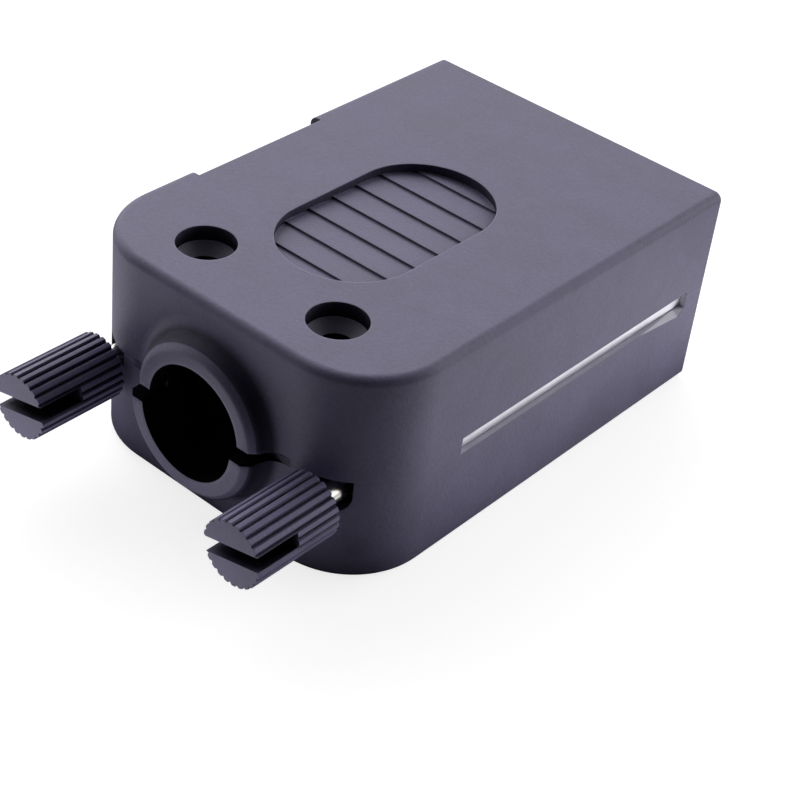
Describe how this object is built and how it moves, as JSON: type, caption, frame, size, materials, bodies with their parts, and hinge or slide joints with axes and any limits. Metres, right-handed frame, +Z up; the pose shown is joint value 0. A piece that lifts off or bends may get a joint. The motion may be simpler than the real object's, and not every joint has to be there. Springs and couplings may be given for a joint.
{
  "type": "d-sub plug",
  "caption": "Black split plastic hood for a small D-sub plug, with long captive thumbscrews, a round cable entry, a stepped grip recess and a D-shaped metal shell round its pins.",
  "frame": {"origin": "centre of the hood's underside", "axes": "+Z up through the top of the hood, +Y out of the mating end along the contacts, X across the hood with the side relief at -X"},
  "size_m": [0.034, 0.0634, 0.0206],
  "materials": {
    "hood_plastic": "finely grained moulded surface",
    "knob_plastic": "smooth moulded surface with a soft shine",
    "insulator_plastic": "glass filled moulding",
    "liner_steel": "tin plated sheet",
    "shell_steel": "bright tin plate on drawn steel",
    "eyelet_metal": "plated rivet",
    "screw_steel": "nickel plated steel",
    "ring_steel": "spring steel",
    "contact_gold": "gold flash on turned brass"
  },
  "bodies": {
    "hood": {"lower_shell": "hood_plastic", "upper_shell": "hood_plastic", "screen_liner": "liner_steel", "plug_shell": "shell_steel", "rear_shell": "shell_steel", "front_insulator": "insulator_plastic", "rear_insulator": "insulator_plastic", "flange_eyelet_left": "eyelet_metal", "flange_eyelet_right": "eyelet_metal", "contact_1": "contact_gold", "contact_2": "contact_gold", "contact_3": "contact_gold", "contact_4": "contact_gold", "contact_5": "contact_gold", "contact_6": "contact_gold", "contact_7": "contact_gold", "contact_8": "contact_gold", "contact_9": "contact_gold"},
    "left_ring": {"retaining_ring_left": "ring_steel"},
    "right_ring": {"retaining_ring_right": "ring_steel"},
    "left_thumbscrew": {"thumb_knob_left": "knob_plastic", "thumbscrew_shank_left": "screw_steel"},
    "right_thumbscrew": {"thumb_knob_right": "knob_plastic", "thumbscrew_shank_right": "screw_steel"}
  },
  "joints": [
    {"name": "left_thumbscrew_slide", "type": "slide", "parent": "hood", "child": "left_ring", "axis": [0, -1, 0], "range_m": [-0.0008, 0.0049]},
    {"name": "left_thumbscrew_turn", "type": "hinge", "parent": "left_ring", "child": "left_thumbscrew", "pos_m": [-0.01249, 0, 0.0087], "axis": [0, -1, 0], "continuous": true},
    {"name": "right_thumbscrew_slide", "type": "slide", "parent": "hood", "child": "right_ring", "axis": [0, -1, 0], "range_m": [-0.0008, 0.0049]},
    {"name": "right_thumbscrew_turn", "type": "hinge", "parent": "right_ring", "child": "right_thumbscrew", "pos_m": [0.01249, 0, 0.0087], "axis": [0, -1, 0], "continuous": true}
  ]
}
